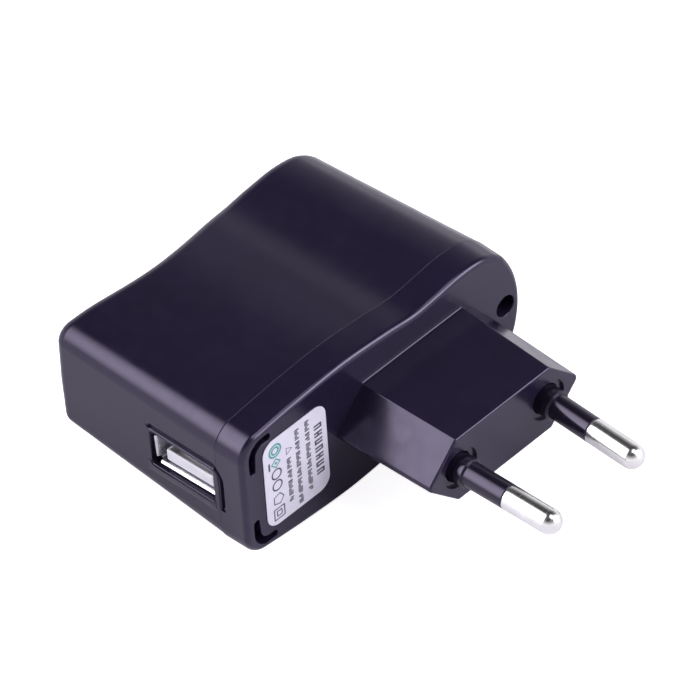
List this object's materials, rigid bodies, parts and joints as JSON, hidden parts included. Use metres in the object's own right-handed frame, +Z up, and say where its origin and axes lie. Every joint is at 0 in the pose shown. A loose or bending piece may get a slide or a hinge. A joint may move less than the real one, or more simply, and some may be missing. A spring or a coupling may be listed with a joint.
{
  "type": "usb wall charger",
  "caption": "Mains charger with a round-pin European plug block on the broad side of a waved black housing and a USB-A port in one end.",
  "frame": {"origin": "middle of the footprint, at the lowest point of the charger lying on its long side", "axes": "+X out of the plug face along the pins, +Y from the USB end to the screw end, +Z up"},
  "size_m": [0.077, 0.0588, 0.0261],
  "materials": {
    "black_plastic": "satin black moulded plastic with a faint violet tint",
    "sleeve_plastic": "smooth black insulating plastic",
    "nickel": "bright nickel plating",
    "black_steel": "blackened steel",
    "label": "pale lavender-grey printed film",
    "tinned_steel": "tinned sheet steel",
    "white_plastic": "white moulded plastic",
    "contact_gold": "thin gold plating",
    "laminate": "tan paper laminate",
    "ferrite": "dark grey sintered ferrite",
    "bobbin_plastic": "black moulded plastic",
    "winding_tape": "yellow polyester tape over copper",
    "can_sleeve": "dark blue shrink sleeve",
    "epoxy": "black moulded epoxy",
    "ceramic": "blue dipped coating",
    "resistor_paint": "tan paint",
    "brown_insulation": "brown PVC",
    "blue_insulation": "blue PVC"
  },
  "bodies": {
    "root": {"rear_shell": "black_plastic", "front_cover": "black_plastic", "cover_screw": "black_steel", "rating_label": "label", "live_pin": "nickel", "live_pin_sleeve": "sleeve_plastic", "live_wire": "brown_insulation", "neutral_pin": "nickel", "neutral_pin_sleeve": "sleeve_plastic", "neutral_wire": "blue_insulation", "usb_shell": "tinned_steel", "usb_tongue": "white_plastic", "usb_contact_1": "contact_gold", "usb_contact_2": "contact_gold", "usb_contact_3": "contact_gold", "usb_contact_4": "contact_gold", "circuit_board": "laminate", "transformer_core_upper": "ferrite", "transformer_core_lower": "ferrite", "transformer_bobbin": "bobbin_plastic", "transformer_winding": "winding_tape", "input_capacitor": "can_sleeve", "output_capacitor": "can_sleeve", "rectifier_diode_1": "epoxy", "rectifier_diode_2": "epoxy", "rectifier_diode_3": "epoxy", "rectifier_diode_4": "epoxy", "fusible_resistor": "resistor_paint", "startup_resistor": "resistor_paint", "load_resistor": "resistor_paint", "output_diode": "epoxy", "interference_capacitor": "ceramic", "optocoupler": "epoxy", "switching_transistor": "epoxy"}
  },
  "joints": []
}
